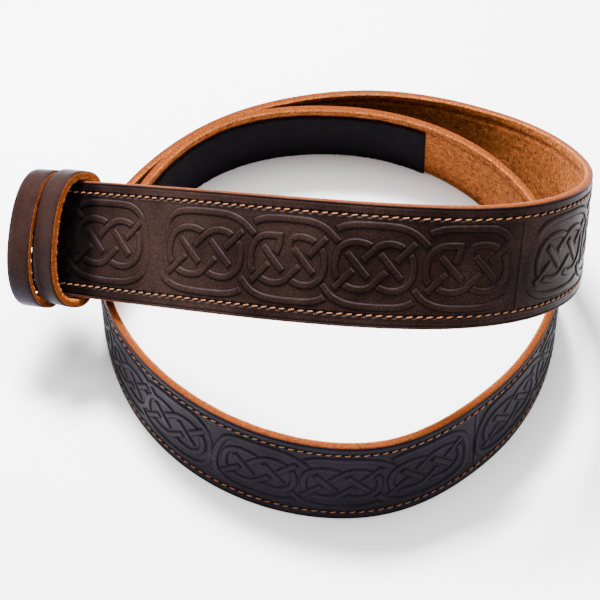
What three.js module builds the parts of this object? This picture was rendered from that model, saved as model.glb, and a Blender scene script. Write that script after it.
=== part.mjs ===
// Kilt belt: one wide leather strap coiled about two turns on its long edge, two loose
// keeper loops on its buckle end, and a fastening tape flat on the inner face at the other end.
// Millimetres, +Z up, the floor at z = 0 and the origin under the middle of the whole belt.

import * as THREE from "three";

// Strap
const strapWidth = 57;
const strapThickness = 3.8;
const edgeBevel = 0.6;

// Coil: half of the plan sizes that the path's shares refer to, and the place along the rows,
// from 0 to 1, where the buckle end is cut
const coilHalfWidth = 120;
const coilHalfDepth = 125;
const buckleEndPlace = 0.0375;
const restDepth = 0.4;

// Keepers: closed loops with a rounded front standing clear of the tooled face
const keeperWidth = 18.5;
const keeperThickness = 3.6;
const keeperEdgeSlack = 1.8;
const keeperDrop = 0.8;
const outerKeeperFrontRoom = 12.5;
const innerKeeperFrontRoom = 10.5;
const keeperBackRoom = 4;
const keeperFrontRoundness = 2.05;
const keeperBackRoundness = 4;
const keeperGap = 2;
const keeperOverhang = 3.5;

// Fastening tape: as wide as the strap leaves between its two margins
const tapeThickness = 1.6;
const tapeTopMargin = 6;
const tapeBottomMargin = 1;
const tapeLength = 190;
const tapeEndInset = 6;
const tapeGap = 0.3;

// Fineness
const pathSamples = 1200;
const strapSamples = 230;
const tapeSamples = 40;
const keeperSamples = 56;

// Path of the outer face's bottom edge, from the buckle end to the taped end, as control rows
// of a smooth curve seen from above going anticlockwise.
// across: share of coilHalfWidth, back: share of coilHalfDepth, lift: share of strapWidth,
// lean: degrees that the top edge leans outwards.
const pathRows = [
  { across: -1.99, back: 0.43, lift: -0.04, lean: -40 },
  { across: -1.53, back: 0.21, lift: 0.41, lean: -41 },
  { across: -1.05, back: -0.02, lift: 0.86, lean: -42 },
  { across: -0.57, back: -0.25, lift: 1.36, lean: -42 },
  { across: 0.0, back: -0.47, lift: 1.78, lean: -41 },
  { across: 0.6, back: -0.53, lift: 1.84, lean: -35 },
  { across: 1.01, back: -0.36, lift: 1.58, lean: -16 },
  { across: 1.24, back: 0.07, lift: 0.9, lean: 0 },
  { across: 1.04, back: 0.75, lift: 0.03, lean: 10 },
  { across: 0.37, back: 1.23, lift: -0.02, lean: -13 },
  { across: -0.4, back: 1.1, lift: 0.02, lean: -19 },
  { across: -0.76, back: 0.67, lift: 0.0, lean: -9 },
  { across: -0.91, back: 0.27, lift: 0.0, lean: -1 },
  { across: -0.81, back: -0.2, lift: 0.0, lean: -2 },
  { across: -0.56, back: -0.56, lift: 0.0, lean: -7 },
  { across: -0.16, back: -0.8, lift: 0.0, lean: -8 },
  { across: 0.35, back: -0.85, lift: 0.0, lean: -5 },
  { across: 0.74, back: -0.62, lift: 0.0, lean: -6 },
  { across: 1.01, back: -0.33, lift: 0.0, lean: -4 },
  { across: 1.19, back: 0.17, lift: 0.0, lean: -3 },
  { across: 0.96, back: 0.78, lift: 0.0, lean: -11 },
  { across: 0.37, back: 1.18, lift: 0.0, lean: -21 },
  { across: -0.46, back: 1.07, lift: 0.0, lean: -16 },
  { across: -0.83, back: 0.4, lift: 0.0, lean: -8 },
  { across: -0.9, back: 0.02, lift: 0.0, lean: -15 },
];

// Value of the uniform cubic B-spline through one column of the rows, at a place from 0 to 1.
function splineValue(column, place) {
  const spans = pathRows.length - 3;
  const first = Math.min(Math.floor(place * spans), spans - 1);
  const t = place * spans - first;
  const weights = [
    (1 - t) ** 3 / 6,
    (3 * t ** 3 - 6 * t ** 2 + 4) / 6,
    (-3 * t ** 3 + 3 * t ** 2 + 3 * t + 1) / 6,
    t ** 3 / 6,
  ];
  return weights.reduce((sum, weight, i) => sum + weight * pathRows[first + i][column], 0);
}

// Point of the path at a place from 0 to 1.
function pathPoint(place) {
  return new THREE.Vector3(
    splineValue("across", place) * coilHalfWidth,
    splineValue("back", place) * coilHalfDepth,
    splineValue("lift", place) * strapWidth,
  );
}

// Frame of the strap at a place: the bottom edge's point, the way along, the way up the width
// and the way out of the tooled face.
function frameAtPlace(place) {
  const step = 1 / pathSamples;
  const before = pathPoint(Math.max(place - step, 0));
  const after = pathPoint(Math.min(place + step, 1));
  const along = after.sub(before).normalize();
  const lean = THREE.MathUtils.degToRad(splineValue("lean", place));
  const level = new THREE.Vector3(along.y, -along.x, 0).normalize();
  const up = level.multiplyScalar(Math.sin(lean)).add(new THREE.Vector3(0, 0, Math.cos(lean)));
  up.addScaledVector(along, -up.dot(along)).normalize();
  const out = new THREE.Vector3().crossVectors(along, up);
  return { point: pathPoint(place), along, up, out };
}

// Place along the rows after a number of samples from the buckle end.
function placeOfSample(sample) {
  return buckleEndPlace + ((1 - buckleEndPlace) * sample) / pathSamples;
}

// Lengths along the middle of the tooled face, for turning a length into a place.
function measurePath() {
  const lengths = [0];
  let last = null;
  for (let i = 0; i <= pathSamples; i++) {
    const frame = frameAtPlace(placeOfSample(i));
    const middle = frame.point.clone().addScaledVector(frame.up, strapWidth / 2);
    if (last) lengths.push(lengths[i - 1] + middle.distanceTo(last));
    last = middle;
  }
  return lengths;
}

const pathLengths = measurePath();
const strapLength = pathLengths[pathSamples];

// Frame of the strap at a length from the buckle end.
function frameAtLength(length) {
  const next = pathLengths.findIndex((reached) => reached > length);
  const upper = next < 0 ? pathSamples : Math.max(next, 1);
  const span = pathLengths[upper] - pathLengths[upper - 1];
  const share = (length - pathLengths[upper - 1]) / span;
  return frameAtPlace(placeOfSample(upper - 1 + share));
}

// Point of a section: up the width from the bottom edge, and in from the tooled face.
// What would sink into the floor is pressed flat on it.
function sectionPoint(frame, upwards, inwards) {
  const point = frame.point.clone();
  point.addScaledVector(frame.up, upwards).addScaledVector(frame.out, -inwards);
  point.z = Math.max(point.z - restDepth, 0);
  return point;
}

// Closed solid through rings with equal numbers of points; an open sweep gets flat end caps.
function solidThroughRings(rings, closed) {
  const size = rings[0].length;
  const positions = rings.flatMap((ring) => ring.flatMap((point) => point.toArray()));
  const indices = [];
  const spans = closed ? rings.length : rings.length - 1;
  for (let i = 0; i < spans; i++) {
    const here = i * size;
    const next = ((i + 1) % rings.length) * size;
    for (let j = 0; j < size; j++) {
      const k = (j + 1) % size;
      indices.push(here + j, here + k, next + j, here + k, next + k, next + j);
    }
  }
  if (!closed) {
    const last = (rings.length - 1) * size;
    for (let j = 1; j < size - 1; j++) {
      indices.push(0, j + 1, j, last, last + j, last + j + 1);
    }
  }
  const geometry = new THREE.BufferGeometry();
  geometry.setAttribute("position", new THREE.Float32BufferAttribute(positions, 3));
  geometry.setIndex(indices);
  geometry.computeVertexNormals();
  return geometry;
}

// Corners of a bevelled rectangle as [upwards, inwards] pairs.
function bevelledRectangle(bottom, top, front, back, bevel) {
  return [
    [bottom, front + bevel],
    [bottom, back - bevel],
    [bottom + bevel, back],
    [top - bevel, back],
    [top, back - bevel],
    [top, front + bevel],
    [top - bevel, front],
    [bottom + bevel, front],
  ];
}

// Sweep of one section along the strap between two lengths.
function sweepAlongStrap(corners, start, end, samples) {
  const rings = [];
  for (let i = 0; i <= samples; i++) {
    const frame = frameAtLength(start + ((end - start) * i) / samples);
    rings.push(corners.map(([upwards, inwards]) => sectionPoint(frame, upwards, inwards)));
  }
  return solidThroughRings(rings, false);
}

function strapGeometry() {
  const corners = bevelledRectangle(0, strapWidth, 0, strapThickness, edgeBevel);
  return sweepAlongStrap(corners, 0, strapLength, strapSamples);
}

function tapeGeometry() {
  const bottom = tapeBottomMargin;
  const top = strapWidth - tapeTopMargin;
  const front = strapThickness + tapeGap;
  const bevel = tapeThickness / 4;
  const corners = bevelledRectangle(bottom, top, front, front + tapeThickness, bevel);
  const end = strapLength - tapeEndInset;
  return sweepAlongStrap(corners, end - tapeLength, end, tapeSamples);
}

// Inner outline of a keeper round the strap, by angle from its top: a rounded front that bulges
// by frontRoom and a flatter back. It returns how far up from the loop's middle, and how far
// out of the strap's tooled face.
function keeperOutline(angle, frontRoom) {
  const halfHeight = strapWidth / 2 + keeperEdgeSlack;
  const isFront = Math.sin(angle) > 0;
  const depth = isFront ? frontRoom : strapThickness + keeperBackRoom;
  const power = 2 / (isFront ? keeperFrontRoundness : keeperBackRoundness);
  const rise = Math.sign(Math.cos(angle)) * Math.abs(Math.cos(angle)) ** power;
  const reach = Math.sign(Math.sin(angle)) * Math.abs(Math.sin(angle)) ** power;
  return new THREE.Vector2(rise * halfHeight, reach * depth);
}

// Points of the outline at equal steps along it, so that its corners get as many as its sides.
function evenOutline(count, frontRoom) {
  const fine = [];
  for (let i = 0; i <= pathSamples; i++) {
    fine.push(keeperOutline((i / pathSamples) * 2 * Math.PI, frontRoom));
  }
  const lengths = [0];
  for (let i = 1; i < fine.length; i++) {
    lengths.push(lengths[i - 1] + fine[i].distanceTo(fine[i - 1]));
  }
  const whole = lengths[pathSamples];
  const points = [];
  for (let i = 0; i < count; i++) {
    const target = (whole * i) / count;
    const next = Math.max(lengths.findIndex((reached) => reached > target), 1);
    const share = (target - lengths[next - 1]) / (lengths[next] - lengths[next - 1]);
    points.push(fine[next - 1].clone().lerp(fine[next], share));
  }
  return points;
}

// Keeper loop whose near edge is at a length from the buckle end.
function keeperGeometry(start, frontRoom) {
  const frame = frameAtLength(start + keeperWidth / 2);
  const outline = evenOutline(keeperSamples, frontRoom);
  const corners = bevelledRectangle(0, keeperThickness, 0, keeperWidth, edgeBevel);
  const middleUp = strapWidth / 2 - keeperDrop;
  const rings = outline.map((point, i) => {
    const before = outline[(i + keeperSamples - 1) % keeperSamples];
    const after = outline[(i + 1) % keeperSamples];
    const tangent = after.clone().sub(before).normalize();
    const outwards = new THREE.Vector2(tangent.y, -tangent.x);
    return corners.map(([thickness, sideways]) => {
      const corner = point.clone().addScaledVector(outwards, thickness);
      return sectionPoint(frame, middleUp + corner.x, -corner.y).addScaledVector(
        frame.along,
        sideways - keeperWidth / 2,
      );
    });
  });
  return solidThroughRings(rings, true);
}

// One named mesh with a material of its own.
function piece(name, geometry, color, roughness) {
  const material = new THREE.MeshStandardMaterial({ color, roughness, metalness: 0 });
  const mesh = new THREE.Mesh(geometry, material);
  mesh.name = name;
  return mesh;
}

const outerKeeperStart = -keeperOverhang;
const innerKeeperStart = outerKeeperStart + keeperWidth + keeperGap;

const belt = new THREE.Group();
belt.add(
  piece("strap", strapGeometry(), 0x3a2620, 0.5),
  piece("keeper_outer", keeperGeometry(outerKeeperStart, outerKeeperFrontRoom), 0x422a22, 0.48),
  piece("keeper_inner", keeperGeometry(innerKeeperStart, innerKeeperFrontRoom), 0x422a22, 0.48),
  piece("fastening_tape", tapeGeometry(), 0x17171b, 0.95),
);

// The origin goes under the middle of the belt's bounding box.
const middle = new THREE.Box3().setFromObject(belt).getCenter(new THREE.Vector3());
belt.position.set(-middle.x, -middle.y, 0);

export default belt;
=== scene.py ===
"""Kilt belt: a wide tooled leather strap coiled about two turns on its long edge, with two loose
keepers on its buckle end and a fastening tape inside its other end.

Lengths inside the classes are millimetres in the strap's own terms: `length` runs along the middle
of the tooled face from the buckle end, `rise` goes up the width from the bottom edge, and `depth`
goes in from the tooled face. `StrapPath.surface` turns them into metres in the part's frame.
"""

from __future__ import annotations

import logging
from dataclasses import dataclass, field
from enum import Enum

import bpy
import numpy as np
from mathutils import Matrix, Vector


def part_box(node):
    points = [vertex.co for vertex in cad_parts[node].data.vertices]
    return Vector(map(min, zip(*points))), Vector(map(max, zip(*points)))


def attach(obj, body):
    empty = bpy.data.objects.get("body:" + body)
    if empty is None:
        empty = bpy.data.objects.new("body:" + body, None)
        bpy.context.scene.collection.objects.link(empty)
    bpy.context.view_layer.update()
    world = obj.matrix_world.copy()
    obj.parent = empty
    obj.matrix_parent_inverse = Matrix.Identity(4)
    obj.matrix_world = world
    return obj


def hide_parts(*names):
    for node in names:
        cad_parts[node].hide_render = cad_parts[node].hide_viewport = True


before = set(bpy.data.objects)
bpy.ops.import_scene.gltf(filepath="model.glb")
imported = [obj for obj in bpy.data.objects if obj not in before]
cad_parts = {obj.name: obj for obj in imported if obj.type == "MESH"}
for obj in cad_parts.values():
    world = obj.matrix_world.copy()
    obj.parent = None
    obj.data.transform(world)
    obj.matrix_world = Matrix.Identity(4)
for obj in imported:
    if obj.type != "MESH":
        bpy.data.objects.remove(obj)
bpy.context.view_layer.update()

MM = 0.001
Tone = tuple[float, float, float]
log = logging.getLogger("kilt_belt")


# Shared surface helpers


def smoothstep(low: float, high: float, value: np.ndarray) -> np.ndarray:
    """Rises from 0 to 1 as value goes from low to high, level at both ends.

    Args:
        low: Value that gives 0; it may be the larger one.
        high: Value that gives 1.
        value: Where to read the curve.

    Returns:
        3t^2 - 2t^3 of the clipped share t.
    """
    t = np.clip((value - low) / (high - low), 0.0, 1.0)
    return t * t * (3 - 2 * t)


def bell(value: np.ndarray, width: float) -> np.ndarray:
    """A bump of height 1 at 0: e to the minus (value / width) squared."""
    return np.exp(-((value / width) ** 2))


def smooth_noise(a: np.ndarray, b: np.ndarray, seed: int, octaves: int = 3) -> np.ndarray:
    """Soft irregular waves over a surface: a sum of sines whose directions come from a seed.

    Args:
        a: First coordinate, in units of the coarsest wave.
        b: Second coordinate, in the same units.
        seed: Fixes the directions and phases.
        octaves: How many times the waves are halved.

    Returns:
        Values that mostly lie between -1 and 1.
    """
    source = np.random.default_rng(seed)
    total = np.zeros(np.broadcast(a, b).shape)
    for octave in range(octaves):
        scale = 2.0**octave
        for _ in range(5):
            angle, phase = source.uniform(0, 2 * np.pi, 2)
            stretch = source.uniform(0.7, 1.3)
            wave = np.cos(angle) * a + np.sin(angle) * b
            total += np.sin(2 * np.pi * scale * stretch * wave + phase) / (scale * 2.2)
    return total


def curve_through(points: np.ndarray, steps: int) -> np.ndarray:
    """Catmull-Rom curve through points, with the end points repeated.

    Args:
        points: Rows of coordinates.
        steps: Pieces for each span.

    Returns:
        Rows of points along the curve, the first and last given points among them.
    """
    if len(points) < 3:
        t = np.linspace(0, 1, steps + 1)[:, None]
        return points[0] * (1 - t) + points[-1] * t
    padded = np.vstack([2 * points[0] - points[1], points, 2 * points[-1] - points[-2]])
    place = np.linspace(0, len(points) - 1, steps * (len(points) - 1) + 1)
    span = np.minimum(place.astype(int), len(points) - 2)
    t = (place - span)[:, None]
    p0, p1, p2, p3 = (padded[span + k] for k in range(4))
    return 0.5 * (
        2 * p1
        + (p2 - p0) * t
        + (2 * p0 - 5 * p1 + 4 * p2 - p3) * t**2
        + (3 * p1 - p0 - 3 * p2 + p3) * t**3
    )


@dataclass
class Surface:
    """Points on a grid with what is painted on them, ready to become a mesh.

    Rows run along the piece and columns across it, and a face's corners go row, row, next row.
    """

    points: np.ndarray
    uv: np.ndarray
    wrap_columns: bool = False
    wrap_rows: bool = False
    slots: np.ndarray | None = None
    paint: np.ndarray | None = None
    flip: bool = False
    cap_ends: bool = False
    cap_slot: int = 0

    def faces(self) -> tuple[np.ndarray, np.ndarray]:
        """Quads of the grid.

        Returns:
            The corner indices, four a row, and each face's material slot.
        """
        rows, columns = self.points.shape[:2]
        i = np.arange(rows if self.wrap_rows else rows - 1)
        j = np.arange(columns if self.wrap_columns else columns - 1)
        here, across = np.meshgrid(i, j, indexing="ij")
        next_row = (here + 1) % rows
        next_column = (across + 1) % columns
        quads = np.stack(
            [
                here * columns + across,
                here * columns + next_column,
                next_row * columns + next_column,
                next_row * columns + across,
            ],
            -1,
        ).reshape(-1, 4)
        if self.flip:
            quads = quads[:, ::-1]
        slots = np.zeros(len(quads), np.int32)
        if self.slots is not None:
            slots = np.broadcast_to(self.slots[across], across.shape).reshape(-1).astype(np.int32)
        return quads, slots


def mesh_piece(name: str, surfaces: list[Surface], materials: list[bpy.types.Material]) -> bpy.types.Object:
    """Joins surfaces into one smooth-shaded object at the origin.

    Args:
        name: The piece's name.
        surfaces: Its grids, in metres.
        materials: Its material slots, which the surfaces' slot numbers mean.

    Returns:
        The new object, in the scene.
    """
    points, quads, slots, uvs, paints, caps = [], [], [], [], [], []
    start = 0
    for surface in surfaces:
        corners, surface_slots = surface.faces()
        rows, columns = surface.points.shape[:2]
        quads.append(corners + start)
        slots.append(surface_slots)
        points.append(surface.points.reshape(-1, 3))
        uvs.append(surface.uv.reshape(-1, 2))
        paint = surface.paint if surface.paint is not None else np.zeros((rows, columns, 3))
        paints.append(paint.reshape(-1, 3))
        start += rows * columns
        if surface.cap_ends:
            for row, backwards in ((0, not surface.flip), (rows - 1, surface.flip)):
                ring = surface.points[row]
                order = np.arange(columns)[::-1] if backwards else np.arange(columns)
                caps.append((start + order, surface.cap_slot))
                points.append(ring)
                uvs.append(surface.uv[row])
                paints.append(paint[row])
                start += columns
    quads_all = np.concatenate(quads)
    loops = np.concatenate([quads_all.reshape(-1)] + [cap[0] for cap in caps])
    totals = np.concatenate([np.full(len(quads_all), 4)] + [[len(cap[0])] for cap in caps])
    face_slots = np.concatenate(slots + [np.array([cap[1]]) for cap in caps])
    vertices = np.concatenate(points)
    mesh = bpy.data.meshes.new(name)
    mesh.vertices.add(len(vertices))
    mesh.vertices.foreach_set("co", vertices.astype(np.float32).ravel())
    mesh.loops.add(len(loops))
    mesh.loops.foreach_set("vertex_index", loops.astype(np.int32))
    mesh.polygons.add(len(totals))
    mesh.polygons.foreach_set("loop_start", (np.cumsum(totals) - totals).astype(np.int32))
    mesh.polygons.foreach_set("loop_total", totals.astype(np.int32))
    mesh.polygons.foreach_set("material_index", face_slots.astype(np.int32))
    mesh.polygons.foreach_set("use_smooth", np.ones(len(totals), bool))
    mesh.update(calc_edges=True)
    uv_layer = mesh.uv_layers.new(name="flat")
    uv_layer.data.foreach_set("uv", np.concatenate(uvs)[loops].astype(np.float32).ravel())
    paint_layer = mesh.attributes.new("tooling", "FLOAT_COLOR", "POINT")
    colours = np.ones((len(vertices), 4), np.float32)
    colours[:, :3] = np.concatenate(paints)
    paint_layer.data.foreach_set("color", colours.ravel())
    for material in materials:
        mesh.materials.append(material)
    mesh.validate()
    piece = bpy.data.objects.new(name, mesh)
    bpy.context.scene.collection.objects.link(piece)
    return piece


def place_piece(piece: bpy.types.Object, nodes: tuple[str, ...] = ()) -> None:
    """Fixes a finished piece to the part and reports it.

    Args:
        piece: The object.
        nodes: The CAD nodes that it stands for.
    """
    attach(piece, "root")
    if nodes:
        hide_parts(*nodes)
    triangles = sum(len(p.vertices) - 2 for p in piece.data.polygons)
    log.info("%s: %d triangles", piece.name, triangles)


# Strap path


@dataclass(frozen=True)
class PathRow:
    """One control row of the path of the tooled face's bottom edge.

    across and back are shares of the coil's half sizes, lift is a share of the strap's width, and
    lean is how many degrees the top edge leans outwards.
    """

    across: float
    back: float
    lift: float
    lean: float


PATH_ROWS = (
    PathRow(-1.99, 0.43, -0.04, -40),
    PathRow(-1.53, 0.21, 0.41, -41),
    PathRow(-1.05, -0.02, 0.86, -42),
    PathRow(-0.57, -0.25, 1.36, -42),
    PathRow(0.0, -0.47, 1.78, -41),
    PathRow(0.6, -0.53, 1.84, -35),
    PathRow(1.01, -0.36, 1.58, -16),
    PathRow(1.24, 0.07, 0.9, 0),
    PathRow(1.04, 0.75, 0.03, 10),
    PathRow(0.37, 1.23, -0.02, -13),
    PathRow(-0.4, 1.1, 0.02, -19),
    PathRow(-0.76, 0.67, 0.0, -9),
    PathRow(-0.91, 0.27, 0.0, -1),
    PathRow(-0.81, -0.2, 0.0, -2),
    PathRow(-0.56, -0.56, 0.0, -7),
    PathRow(-0.16, -0.8, 0.0, -8),
    PathRow(0.35, -0.85, 0.0, -5),
    PathRow(0.74, -0.62, 0.0, -6),
    PathRow(1.01, -0.33, 0.0, -4),
    PathRow(1.19, 0.17, 0.0, -3),
    PathRow(0.96, 0.78, 0.0, -11),
    PathRow(0.37, 1.18, 0.0, -21),
    PathRow(-0.46, 1.07, 0.0, -16),
    PathRow(-0.83, 0.4, 0.0, -8),
    PathRow(-0.9, 0.02, 0.0, -15),
)


@dataclass
class StrapPath:
    """The coil as a uniform cubic B-spline through the control rows, read by length."""

    width: float = 57.0
    thickness: float = 3.8
    half_width: float = 120.0
    half_depth: float = 125.0
    buckle_end_place: float = 0.0375
    rest_depth: float = 0.4
    samples: int = 1200
    end_ease: float = 4.2
    end_ease_length: float = 150.0
    shift: np.ndarray = field(default_factory=lambda: np.zeros(3))

    def __post_init__(self) -> None:
        """Measures the path once, and finds where the part's frame has it."""
        share = np.arange(self.samples + 1) / self.samples
        self._places = self.buckle_end_place + (1 - self.buckle_end_place) * share
        point, _, up, _ = self._frames_at_place(self._places)
        middle = point + up * self.width / 2
        steps = np.linalg.norm(np.diff(middle, axis=0), axis=1)
        self._lengths = np.concatenate([[0.0], np.cumsum(steps)])
        self.length = float(self._lengths[-1])
        bevel = 0.6
        lengths = np.linspace(0, self.length, 231)
        corners = [
            (0, bevel), (0, self.thickness - bevel), (bevel, self.thickness), (bevel, 0),
            (self.width - bevel, self.thickness), (self.width, self.thickness - bevel),
            (self.width, bevel), (self.width - bevel, 0),
        ]
        raw = np.concatenate([self.surface(lengths, rise, depth) for rise, depth in corners])
        low = np.array(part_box("strap")[0]) / MM
        self.shift = np.array([*(low - raw.min(0) / MM)[:2], 0.0])

    def _frames_at_place(self, place: np.ndarray) -> tuple[np.ndarray, ...]:
        """Point, way along, way up the width and way out of the face, at places from 0 to 1.

        The way along is the difference of the points one step on each side. The way up leans from
        the vertical by the lean angle, and is then made square to the way along.

        Args:
            place: Places along the rows.

        Returns:
            Four arrays of rows of x, y, z.
        """
        step = 1 / self.samples
        scale = np.array([self.half_width, self.half_depth, self.width])
        before = self._row_value(np.maximum(place - step, 0))[:, :3] * scale
        after = self._row_value(np.minimum(place + step, 1))[:, :3] * scale
        here = self._row_value(place)
        along = after - before
        along /= np.linalg.norm(along, axis=1, keepdims=True)
        lean = np.radians(here[:, 3:4])
        level = np.stack([along[:, 1], -along[:, 0], np.zeros(len(along))], 1)
        level /= np.linalg.norm(level, axis=1, keepdims=True)
        up = level * np.sin(lean) + np.array([0.0, 0.0, 1.0]) * np.cos(lean)
        up -= along * np.sum(up * along, axis=1, keepdims=True)
        up /= np.linalg.norm(up, axis=1, keepdims=True)
        return here[:, :3] * scale, along, up, np.cross(along, up)

    def _row_value(self, place: np.ndarray) -> np.ndarray:
        """The spline through the rows at places from 0 to 1, four columns as in the rows."""
        rows = np.array([(r.across, r.back, r.lift, r.lean) for r in PATH_ROWS])
        spans = len(rows) - 3
        first = np.clip(np.floor(place * spans), 0, spans - 1).astype(int)
        t = place * spans - first
        weights = (
            (1 - t) ** 3 / 6,
            (3 * t**3 - 6 * t**2 + 4) / 6,
            (-3 * t**3 + 3 * t**2 + 3 * t + 1) / 6,
            t**3 / 6,
        )
        return sum(weight[:, None] * rows[first + k] for k, weight in enumerate(weights))

    def frames(self, length: np.ndarray) -> tuple[np.ndarray, ...]:
        """Frames of the strap at lengths from the buckle end, as `_frames_at_place` gives them.

        Near the strap's end the points move out of the face, up to the turn that lies against it.
        """
        point, along, up, out = self._frames_at_place(np.interp(length, self._lengths, self._places))
        ease = smoothstep(self.length - self.end_ease_length, self.length - 20.0, length)
        level = out * (1, 1, 0)
        return point + level * (self.end_ease * ease)[:, None], along, up, out

    def surface(self, length: np.ndarray, rise: np.ndarray, depth: np.ndarray) -> np.ndarray:
        """Points of the strap in the part's frame.

        A point is the bottom edge's point, plus rise times the way up, less depth times the way
        out of the face. What would sink into the floor is pressed flat on it.

        Args:
            length: Lengths from the buckle end, one a row.
            rise: Heights up the width, as wide as a row, or one number.
            depth: Depths in from the face, of the grid's shape or less.

        Returns:
            Points in metres, with x, y, z in the last axis.
        """
        point, _, up, out = self.frames(np.asarray(length, float))
        rise, depth = np.asarray(rise, float), np.asarray(depth, float)
        if rise.ndim == 0 and depth.ndim == 0:
            points = point + up * rise - out * depth
        else:
            rise, depth = np.broadcast_arrays(np.atleast_2d(rise), np.atleast_2d(depth))
            points = (
                point[:, None] + up[:, None] * rise[..., None] - out[:, None] * depth[..., None]
            )
        points = points + self.shift
        points[..., 2] = np.maximum(points[..., 2] - self.rest_depth, 0.0)
        return points * MM


# Knotwork


class KnotKind(Enum):
    """The two knots of the pattern, which differ in their upper loops."""

    ROUND = "round"
    POINTED = "pointed"


class Start(Enum):
    """How a band begins: cut square with a gap at the band over it, or fading in."""

    CUT = "cut"
    FADE = "fade"


@dataclass(frozen=True)
class Band:
    """One raised band of a knot, as points of its middle line.

    A point is how far along the knot and how far up the strap, for a knot of plain size. `under`
    names the bands that go over it at a slant, which cut it with a gap.
    """

    name: str
    line: tuple[tuple[float, float], ...]
    under: tuple[str, ...] = ()
    start: Start = Start.CUT


LOWER_BANDS = (
    Band("short_bar", ((1.0, 17.2), (9.8, 26.35))),
    Band("left_bar", ((7.0, 34.2), (16.6, 23.0))),
    Band("middle_bar", ((22.0, 34.3), (31.5, 23.0))),
    Band("right_bar", ((29.1, 31.0), (37.5, 39.9))),
    Band(
        "left_bowl",
        ((4.6, 19.9), (6.9, 18.8), (9.3, 17.9), (12.4, 17.6), (15.3, 17.95), (17.8, 19.15),
         (20.1, 21.4), (22.4, 23.8), (24.7, 26.1)),
        under=("short_bar",),
    ),
    Band(
        "right_bowl",
        ((19.6, 20.3), (21.7, 18.9), (24.1, 17.9), (27.0, 17.6), (30.0, 17.9), (32.7, 19.3),
         (35.0, 21.5), (36.2, 24.1), (36.75, 27.2), (36.7, 29.8), (36.2, 32.3), (35.2, 34.6)),
        under=("left_bowl", "right_bar"),
    ),
)

UPPER_BANDS = {
    KnotKind.ROUND: (
        Band(
            "left_loop",
            ((3.1, 21.4), (2.2, 23.4), (1.7, 26.0), (1.6, 28.7), (2.1, 32.0), (3.3, 35.0),
             (5.2, 37.2), (7.8, 38.6), (10.7, 39.25), (13.8, 39.1), (16.6, 38.35), (18.3, 37.4)),
            under=("right_loop", "short_bar"),
        ),
        Band(
            "right_loop",
            ((14.2, 30.95), (17.0, 33.9), (19.5, 36.4), (22.0, 38.15), (24.7, 39.0),
             (27.4, 39.15), (29.9, 38.6), (31.5, 37.85), (33.0, 36.9)),
            under=("right_bar",),
        ),
    ),
    KnotKind.POINTED: (
        Band(
            "left_loop",
            ((2.4, 21.4), (1.2, 23.4), (0.9, 26.4), (0.9, 29.5), (1.5, 32.7), (3.0, 35.4),
             (5.1, 37.5), (7.6, 38.75), (10.5, 39.2), (13.5, 39.2), (17.0, 39.2)),
            under=("short_bar",),
        ),
        Band("point", ((15.75, 40.65), (15.6, 38.5), (15.2, 35.7), (14.4, 33.3), (13.3, 31.1))),
        Band(
            "right_loop",
            ((20.6, 31.0), (19.9, 32.9), (19.7, 34.9), (20.2, 37.0), (21.5, 38.6), (23.9, 39.35),
             (26.6, 39.5), (29.1, 39.0), (31.2, 38.2), (32.9, 37.1)),
            under=("right_bar",),
            start=Start.FADE,
        ),
    ),
}

FRAME_TOP = (
    (2.3, 44.3), (4.5, 45.5), (8.4, 46.65), (13.0, 47.1), (19.9, 47.2), (27.4, 47.05),
    (31.4, 46.5), (34.7, 45.4), (37.7, 43.8), (40.2, 41.6), (42.2, 39.6), (43.0, 38.5),
)
FRAME_BOTTOM = (
    (-4.3, 18.7), (-2.2, 15.9), (0.2, 13.6), (3.4, 11.8), (7.2, 10.6), (12.2, 10.0),
    (18.0, 9.8), (27.6, 9.95), (31.8, 10.6), (34.5, 11.5), (36.8, 12.7),
)
FIRST_SIDE = (
    (-1.9, 15.9), (-3.0, 19.0), (-3.3, 24.0), (-2.8, 30.0), (-1.4, 36.0), (0.4, 40.6),
    (1.9, 43.4), (4.2, 45.4),
)
LAST_SIDE = (
    (31.4, 46.4), (34.9, 44.3), (37.4, 41.6), (39.1, 38.3), (40.3, 33.0), (40.7, 27.0),
    (40.4, 21.0), (39.3, 16.6), (36.9, 13.5), (33.4, 11.5), (28.6, 10.2), (23.0, 9.85),
)
FIRST_FRAME = FRAME_BOTTOM[:1:-1] + FIRST_SIDE + FRAME_TOP[2:]
LAST_FRAME = FRAME_TOP[:6] + LAST_SIDE + FRAME_BOTTOM[6::-1]


@dataclass(frozen=True)
class Knot:
    """One knot on the strap: where it starts, how much longer than plain it is, and its kind."""

    start: float
    stretch: float
    kind: KnotKind = KnotKind.ROUND


@dataclass(frozen=True)
class Panel:
    """A row of linked knots in one rounded frame, with how deep its two end curves are pressed."""

    knots: tuple[Knot, ...]
    left_depth: float = 0.6
    right_depth: float = 0.6


class BorderKind(Enum):
    """What parts two panels: a crumpled strip, or a line pressed across the strap."""

    CRUMPLED = "crumpled"
    LINE = "line"


@dataclass(frozen=True)
class Border:
    """What lies between two panels, at a length from the buckle end."""

    length: float
    kind: BorderKind


def even_panel(start: float, end: float, kinds: tuple[KnotKind, ...]) -> Panel:
    """A panel whose knots share the length between two borders evenly.

    Args:
        start: Length of the border before it.
        end: Length of the border after it.
        kinds: Its knots in order.

    Returns:
        The panel.
    """
    pitch = (end - start - 8.0) / len(kinds)
    knots = tuple(
        Knot(start + 5.5 + pitch * i, pitch / 40.4, kind) for i, kind in enumerate(kinds)
    )
    return Panel(knots)


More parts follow.
